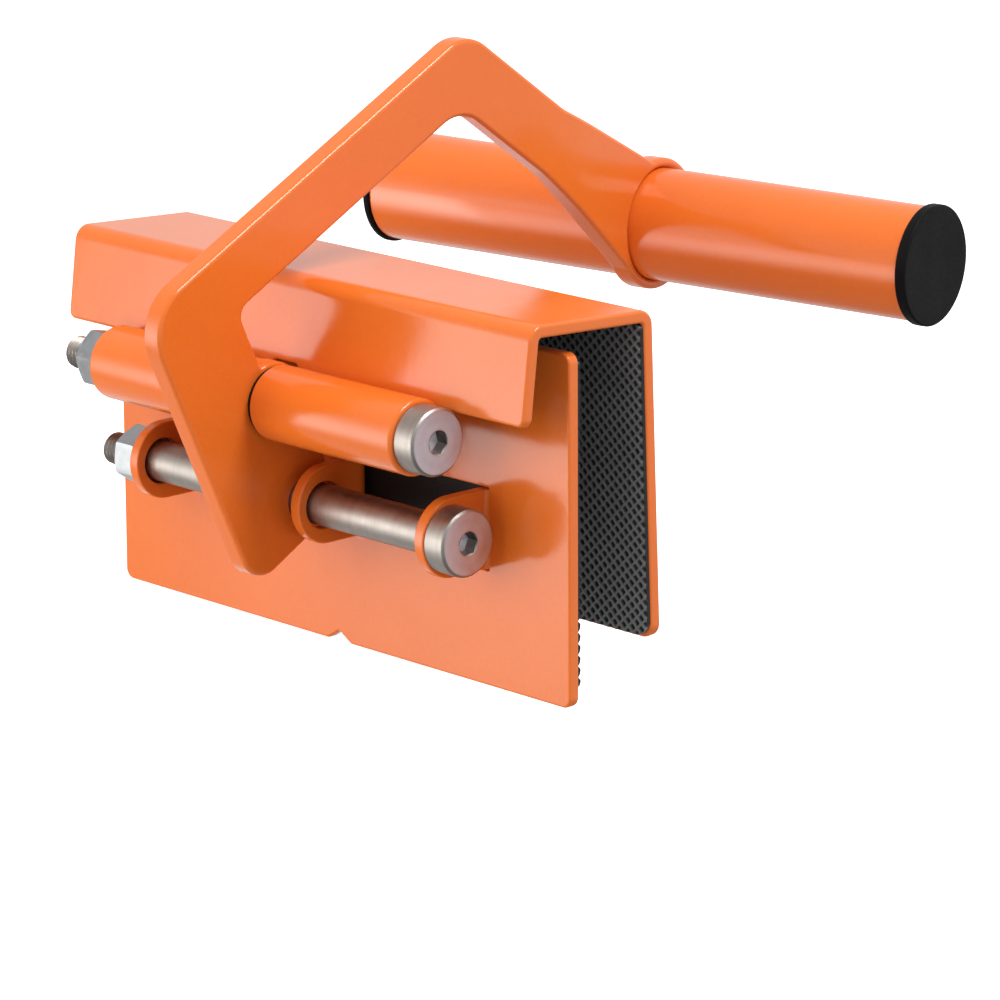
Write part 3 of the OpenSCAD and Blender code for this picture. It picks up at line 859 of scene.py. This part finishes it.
make("upper_hex_nut", nut(UP, radians(52), GRIP_L), ZINC, "hook", ["upper_nut"], sharp=28, origin=(-GRIP_L, UP[0], UP[1]))
make("lower_hex_nut", nut(LO, radians(30), EAR_L), ZINC, "jaw", ["lower_nut"], sharp=28, origin=(-EAR_L, LO[0], LO[1]))

# ---------------------------------------------------------------- lever

Y0 = BEND_Y - ARM_R * tan(ARM_A / 2)
ARC = ARM_R * ARM_A
Y1 = Y0 + (ARM_R + ARM_H) * sin(ARM_A)
S_EYE = Y0 + ARC + EYE_RUN - ARM_R * tan(ARM_A / 2)


def arm_run(y):
    """developed run of a point of the near face whose side-view place is y"""
    if y <= Y0:
        return y
    if y <= Y1:
        return Y0 + ARM_R * math.asin((y - Y0) / (ARM_R + ARM_H))
    return Y0 + ARC + (y - Y1) / cos(ARM_A)


def fold_arm(c):
    """(run, z, side) of the flat lever to the plate bent before the eye"""
    s, z, w = c
    if s <= Y0:
        return Vector((w, s, z))
    a = min((s - Y0) / ARM_R, ARM_A)
    over = max(0.0, s - Y0 - ARC)
    return Vector((-ARM_R + (ARM_R + w) * cos(a) - over * sin(ARM_A), Y0 + (ARM_R + w) * sin(a) + over * cos(ARM_A), z))


def meets(p, q, c, r):
    """where the line from p to q first meets the circle"""
    d = unit(sub(q, p))
    m = sub(p, c)
    b, k = dot(m, d), dot(m, m) - r * r
    return add(p, mul(d, -b - sqrt(max(0.0, b * b - k))))


OUT_KNEE, TOE, IN_KNEE = (-73.4, -1.3), (-38.7, -69.6), (-45.4, -2.6)
OUT_APEX, IN_APEX = (24.6, 57.95), (23.5, 39.3)
OUT_FLARE, IN_FLARE = (arm_run(58.0), 36.4), (arm_run(51.6), 21.1)
eye = (S_EYE, EYE[1])
low_q = (S_EYE - 0.97 * EYE_R * 0.63, EYE[1] - 0.97 * EYE_R * 0.77)
top_q = (S_EYE, EYE[1] + EYE_R - 2.2)
eye_in, eye_out = meets(IN_FLARE, low_q, eye, EYE_R), meets(OUT_FLARE, top_q, eye, EYE_R)
pins = unit(sub(LO, UP))
side = (-pins[1], pins[0])
side_a = atan2(side[1], side[0])
heel = add(LO, (4.5, -7.4))
heel_hit = meets(TOE, heel, LO, 9.0)
ha = atan2(heel_hit[1] - LO[1], heel_hit[0] - LO[0])
ua = atan2(IN_KNEE[1] - UP[1], IN_KNEE[0] - UP[0])
up_hit = (UP[0] + 9.3 * cos(ua), UP[1] + 9.3 * sin(ua))

loop = corner(OUT_APEX, OUT_KNEE, TOE, 13) + corner(OUT_KNEE, TOE, heel, 7)
loop += arc(LO, 9.0, ha, side_a)
loop += arc(UP, 9.3, side_a, ua)
loop += corner(up_hit, IN_KNEE, IN_APEX, 3.5) + corner(IN_KNEE, IN_APEX, IN_FLARE, 10.5)
loop += corner(IN_APEX, IN_FLARE, eye_in, 25)
ea, eb = atan2(eye_in[1] - eye[1], eye_in[0] - eye[0]), atan2(eye_out[1] - eye[1], eye_out[0] - eye[0])
loop += arc(eye, EYE_R, ea, eb if eb > ea else eb + 2 * pi)
loop += corner(eye_out, OUT_FLARE, OUT_APEX, 20) + corner(OUT_FLARE, OUT_APEX, OUT_KNEE, 11.5)
holes = [circle(UP, BORE, 64), circle(LO, BORE, 64), circle(eye, TUBE_R + 0.05, 120)]
v, f = prism(loop, holes, -ARM_H, ARM_H, 1.0, 5, [0.35, 0.35, 1.1], 0.45)
make("lever_plate", cut_and_fold(v, f, [(0, lerp(Y0, Y0 + ARC, k / 10)) for k in range(11)], fold_arm), COAT, "arm", ["lever_arm"])

# ---------------------------------------------------------------- handle

prof = eased([(-TUBE_L + 3, 12.0), (-TUBE_L, 12.0), (-TUBE_L, TUBE_R), (TUBE_HALF, TUBE_R), (TUBE_HALF, 12.0), (TUBE_HALF - 3, 12.0)],
             [0, 0.4, 0.6, 0.6, 0.4, 0], 0.15)
tube = make("handle_grip_tube", handle_place(turned_bar(prof, 128, (0, 0), loop=True)), COAT, "arm", ["handle_tube"])


def ring_bead():
    """rippled fillet weld round the tube on the far side of the eye"""
    n, m = 360, 12
    rings = []
    for i in range(n):
        a = 2 * pi * i / n
        k = (i * 58.0 / n + 0.12 * sin(5 * a)) % 1.0
        puff = 0.82 + 0.18 * sqrt(max(0.0, 1 - (2 * k - 1) ** 2))
        ring = []
        for j in range(m + 1):
            b = pi / 2 * j / m
            x, r = -2.15 * puff * sin(b), 2.0 * puff * cos(b)
            bow = 0.30 * sin(2 * b)
            x, r = x * (1 - bow), r * (1 - bow)
            ring.append((-2 * ARM_H + x, (TUBE_R + 0.05 + r) * cos(a + 0.012 * sin(b)), (TUBE_R + 0.05 + r) * sin(a + 0.012 * sin(b))))
        ring.append((-2 * ARM_H, (TUBE_R + 0.05) * cos(a), (TUBE_R + 0.05) * sin(a)))
        rings.append(ring)
    v, f = rings_mesh(rings, loop=True)
    return bag(v, f)


make("handle_eye_bead", eye_place(ring_bead()), COAT, "arm", ["handle_weld"], sharp=60)


def cap(s, end, t):
    """moulded plug: flange with an eased rim, face very slightly dished, ribbed plug in the tube"""
    e, ro = end + t, TUBE_R + CAP_LIP
    prof = [(e - 0.12, 0), (e - 0.11, 4.0), (e - 0.09, 8.0), (e - 0.05, 11.0)]
    prof += eased([(e - 0.02, 12.2), (e, 12.9), (e, ro), (end + 0.03, ro), (end + 0.03, 11.9)], [0, 0.3, 0.55, 0.2, 0], 0.1)
    for k in range(4):
        x = end - 1.2 - 2.4 * k
        prof += [(x, 11.55), (x - 0.6, 11.92), (x - 1.2, 11.92), (x - 1.8, 11.55)]
    prof += [(end - 11.2, 11.4), (end - 12.0, 10.9), (end - 12.0, 10.0), (end - 1.5, 9.9), (end - 1.5, 0)]
    return handle_place(turned_bar([(s * x, r) for x, r in prof], 112, (0, 0)))


make("right_end_plug", cap(1, TUBE_HALF, CAP_T), PLASTIC, "arm", ["right_end_cap"], sharp=45)
make("left_end_plug", cap(-1, TUBE_L, CAP_L), PLASTIC, "arm", ["left_end_cap"], sharp=45)

# ---------------------------------------------------------------- clamp plate

RI = 1.2
FLAP = 4.0
STRETCH = 1.18
XR, XL = GRIP + RI, EAR_IN - RI
NOSE = FLAP + (PIN_OUT - RI) / STRETCH


def jaw_place(c):
    y, z = c[1] + PIN_OUT, c[2] + PIN_DROP
    return Vector((c[0], LO[0] + y * cos(TILT) - z * sin(TILT), LO[1] + y * sin(TILT) + z * cos(TILT)))


def fold_plate(c):
    """(x, z, depth from the front) of the flat plate; the flaps in the windows turn forward"""
    x, z, w = c
    y = w
    ax, sg = abs(x), (1 if x > 0 else -1)
    if abs(z + PIN_DROP) < EAR_R + 0.18 and XL < ax < XR:
        right = ax > (XL + XR) / 2
        u = XR - ax if right else ax - XL
        a = min(u / FLAP, 1) * pi / 2
        over = max(0.0, u - FLAP) * STRETCH
        d = (RI + w) * sin(a)
        ax = XR - d if right else XL + d
        y = -RI + (RI + w) * cos(a) - over
    return jaw_place((sg * ax, y, z))


def nose_arc(xc, s):
    """half ellipse that becomes the round nose of an ear once it is folded; s = way it points"""
    n = 40
    return [(xc + s * EAR_R / STRETCH * cos(-pi / 2 + pi * i / n), EAR_R * sin(-pi / 2 + pi * i / n)) for i in range(n + 1)]


SLIT = EAR_R + 0.36
right_nose = nose_arc(XR - NOSE + NOSE_BACK / STRETCH, -1)
left_nose = nose_arc(XL + NOSE - NOSE_BACK / STRETCH, 1)
IN = 0.9
win = [(XR - IN, -SLIT), (XR - IN, -EAR_R)] + right_nose + [(XR - IN, EAR_R), (XR - IN, SLIT), (XL + IN, SLIT), (XL + IN, EAR_R)]
win += left_nose[::-1] + [(XL + IN, -EAR_R), (XL + IN, -SLIT)]
holes = []
for sg in (1, -1):
    holes.append([(sg * p[0], p[1] - PIN_DROP) for p in win])
    for xc in (XR - NOSE, XL + NOSE):
        holes.append([(sg * (xc + EAR_HOLE / STRETCH * cos(2 * pi * i / 64)), -PIN_DROP + EAR_HOLE * sin(2 * pi * i / 64)) for i in range(64)])
plate_loop = round_loop([(-PLATE_W, 0), (-PLATE_W, -PLATE_H), (-3.6, -PLATE_H), (0.5, -PLATE_H + 2.5), (4.6, -PLATE_H), (PLATE_W, -PLATE_H), (PLATE_W, 0)],
                        [2.5, 2.5, 1.2, 1.0, 1.2, 2.5, 2.5])
v, f = prism(plate_loop, holes, 0, T, 0.6, 4, [0.4, 0.35, 0.35] * 2)
cuts = []
for sg in (1, -1):
    cuts += [(0, sg * (XR - FLAP * k / 10)) for k in range(11)] + [(0, sg * (XL + FLAP * k / 10)) for k in range(11)]
make("clamp_sheet", cut_and_fold(v, f, cuts, fold_plate), COAT, "jaw", ["clamp_plate"])

# pad on its back, knurl towards the panel
pw = PLATE_W - 0.8
keep = prism(round_loop([(-pw, -0.8), (-pw, -PLATE_H + 1.8), (pw, -PLATE_H + 1.8), (pw, -0.8)], [3, 4, 4, 3]), [], -1, 3, 0.02, 1)
bm = knurl_slab((-pw, -PLATE_H + 1.8), (pw, -0.8), KA, KB, KD, RUB, keep)
moved(bm, lambda c: jaw_place((c[0], T + c[2], c[1])))
make("jaw_facing", bm, RUBBER_JAW, "jaw", ["jaw_pad"], sharp=30, even=False)

# ---------------------------------------------------------------- stage, light, camera

scene = bpy.context.scene
scene.view_settings.view_transform = "Standard"
scene.view_settings.look = "None"


def plain(name, col, rough, glow=0.0):
    m, t, b = nodes_of(name)
    p = coords(t)
    soft = noise(t, p, 3.0, 2.0)
    t.links.new(ramp(t, soft, [(0.3, tuple(c * 0.985 for c in col)), (0.7, col)]), b.inputs["Base Color"])
    b.inputs["Roughness"].default_value = rough
    b.inputs["Specular IOR Level"].default_value = 0.1
    if glow:
        b.inputs["Emission Color"].default_value = (1, 1, 1, 1)
        b.inputs["Emission Strength"].default_value = glow
    return m


def panel(name, corners, mat, camera=True):
    me = bpy.data.meshes.new(name)
    me.from_pydata(corners, [], [tuple(range(len(corners)))])
    me.materials.append(mat)
    ob = bpy.data.objects.new(name, me)
    scene.collection.objects.link(ob)
    ob.visible_camera = camera
    return ob


FLOOR = -0.0882
ground = panel("floor", [(-9, -9, FLOOR), (9, -9, FLOOR), (9, 9, FLOOR), (-9, 9, FLOOR)], plain("floor_white", (0.86, 0.86, 0.86), 0.7, 0.8))
ground.visible_glossy = False
ground.visible_diffuse = False
ground.visible_shadow = False


def glow_card(name, at, half, low, high, sigma, peak, power=2.0):
    """upright soft box, brightest in its middle and fading to nothing at its edges"""
    m = bpy.data.materials.new(name)
    m.use_nodes = True
    t = m.node_tree
    t.nodes.clear()
    s = t.nodes.new("ShaderNodeSeparateXYZ")
    t.links.new(coords(t), s.inputs[0])
    x = math_node(t, "DIVIDE", s.outputs[0], sigma[0])
    z = math_node(t, "DIVIDE", s.outputs[2], sigma[1])
    x = math_node(t, "POWER", math_node(t, "ABSOLUTE", x), power)
    r = math_node(t, "ADD", x, math_node(t, "MULTIPLY", z, z))
    k = math_node(t, "MULTIPLY", math_node(t, "EXPONENT", math_node(t, "MULTIPLY", r, -0.5)), peak)
    e = t.nodes.new("ShaderNodeEmission")
    e.inputs["Color"].default_value = (1, 0.985, 0.96, 1)
    t.links.new(k, e.inputs["Strength"])
    clear = t.nodes.new("ShaderNodeBsdfTransparent")
    both = t.nodes.new("ShaderNodeAddShader")
    t.links.new(e.outputs[0], both.inputs[0])
    t.links.new(clear.outputs[0], both.inputs[1])
    out = t.nodes.new("ShaderNodeOutputMaterial")
    t.links.new(both.outputs[0], out.inputs["Surface"])
    ob = panel(name, [(-half, 0, low), (half, 0, low), (half, 0, high), (-half, 0, high)], m, camera=False)
    ob.location = at
    ob.visible_shadow = False
    return ob


glow_card("front_card", (-0.41, -0.50, -0.14), 0.65, -0.55, 0.5, (0.22, 0.155), 4.0, 4.0)
# low strip between the hook and the handle: light-linked, so only the handle mirrors it
strip = glow_card("handle_card", (0.010, 0.036, -0.0155), 0.19, -0.055, 0.0195, (0.120, 0.0160), 4.0, 6.0)
strip.visible_diffuse = False
lit_only = bpy.data.collections.new("handle_only")
lit_only.objects.link(tube)
strip.light_linking.receiver_collection = lit_only


world = bpy.data.worlds.new("studio")
scene.world = world
world.use_nodes = True
wt = world.node_tree
wb = wt.nodes["Background"]
way = wt.nodes.new("ShaderNodeSeparateXYZ")
wt.links.new(coords(wt, "Generated"), way.inputs[0])
left = math_node(wt, "ADD", math_node(wt, "MULTIPLY", way.outputs[0], -0.80), math_node(wt, "MULTIPLY", way.outputs[1], 0.60))
side_glow = span(wt, left, 0.0, 0.16, 0.15, 0.95)
back = math_node(wt, "ADD", math_node(wt, "MULTIPLY", way.outputs[0], 0.73), math_node(wt, "MULTIPLY", way.outputs[1], 0.68))
back_glow = span(wt, back, 0.0, 0.38, 0.40, 0.95)
down_fade = span(wt, way.outputs[2], 0.40, 1.0, -0.60, -0.05)
# low on the left: a dim band at the horizon over a bright sweep of the table
table = ramp(wt, span(wt, way.outputs[2], 0.0, 1.0, -1.0, 1.0),
             [(0.0, (0.3,) * 3), (0.12, (0.95,) * 3), (0.19, (1.38,) * 3), (0.26, (1.30,) * 3), (0.33, (0.48,) * 3), (0.44, (0.42,) * 3), (0.52, (1.0,) * 3), (1.0, (1.0,) * 3)])
# the sweep is weaker towards the viewer
near = math_node(wt, "MULTIPLY", span(wt, way.outputs[1], 0.30, 0.0, -0.25, 0.15), span(wt, way.outputs[2], 1.0, 0.0, -0.45, -0.35))
table = math_node(wt, "MULTIPLY", table, math_node(wt, "SUBTRACT", 1.0, near))
to_left = span(wt, way.outputs[0], 1.0, 0.0, -0.70, -0.55)
fade = wt.nodes.new("ShaderNodeMix")
fade.data_type = "FLOAT"
wt.links.new(to_left, fade.inputs[0])
wt.links.new(down_fade, fade.inputs[2])
wt.links.new(table, fade.inputs[3])
level = math_node(wt, "MULTIPLY", math_node(wt, "ADD", math_node(wt, "ADD", side_glow, back_glow), 0.62), fade.outputs[0])
lp = wt.nodes.new("ShaderNodeLightPath")
pick = wt.nodes.new("ShaderNodeMix")
pick.data_type = "FLOAT"
wt.links.new(level, pick.inputs[2])
pick.inputs[3].default_value = 1.0
wt.links.new(lp.outputs["Is Camera Ray"], pick.inputs[0])
wb.inputs["Color"].default_value = (1, 1, 1, 1)
wt.links.new(pick.outputs[0], wb.inputs["Strength"])


def lamp(name, at, target, size, power, camera=False):
    d = bpy.data.lights.new(name, "AREA")
    d.shape = "RECTANGLE"
    d.size, d.size_y = size
    d.energy = power
    ob = bpy.data.objects.new(name, d)
    ob.location = at
    ob.rotation_euler = (Vector(target) - Vector(at)).to_track_quat("-Z", "Y").to_euler()
    ob.visible_camera = camera
    scene.collection.objects.link(ob)
    return ob


lamp("key_right", (0.55, 0.05, 1.0), (0, 0, 0), (0.5, 0.5), 11)
fill = lamp("front_fill", (-0.10, -1.05, 0.30), (0, 0, 0), (0.9, 0.9), 4.0)
fill.visible_glossy = False
bounce = lamp("floor_bounce", (0.15, -0.35, -1.0), (0, 0, 0), (0.9, 0.9), 4.5)
bounce.visible_glossy = False

cam_data = bpy.data.cameras.new("photo_camera")
cam = bpy.data.objects.new("photo_camera", cam_data)
scene.collection.objects.link(cam)
right = Vector((0.6828531488, 0.7299718823, 0.0291997989))
down = Vector((0.1592488630, -0.1097234313, -0.9811220965))
ahead = Vector((-0.7129876414, 0.6746123477, -0.1911721829))
rot = Matrix((right, -down, -ahead)).transposed()
cam.matrix_world = Matrix.Translation((0.86727402, -0.79146634, 0.21222166)) @ rot.to_4x4()
cam_data.sensor_width = 36.0
cam_data.sensor_fit = "HORIZONTAL"
cam_data.lens = 36.0 * 5.036408581
cam_data.shift_x = 0.5 - 0.4650056
cam_data.shift_y = 0.3499416 - 0.5
cam_data.clip_start = 0.01
cam_data.clip_end = 100.0
scene.camera = cam
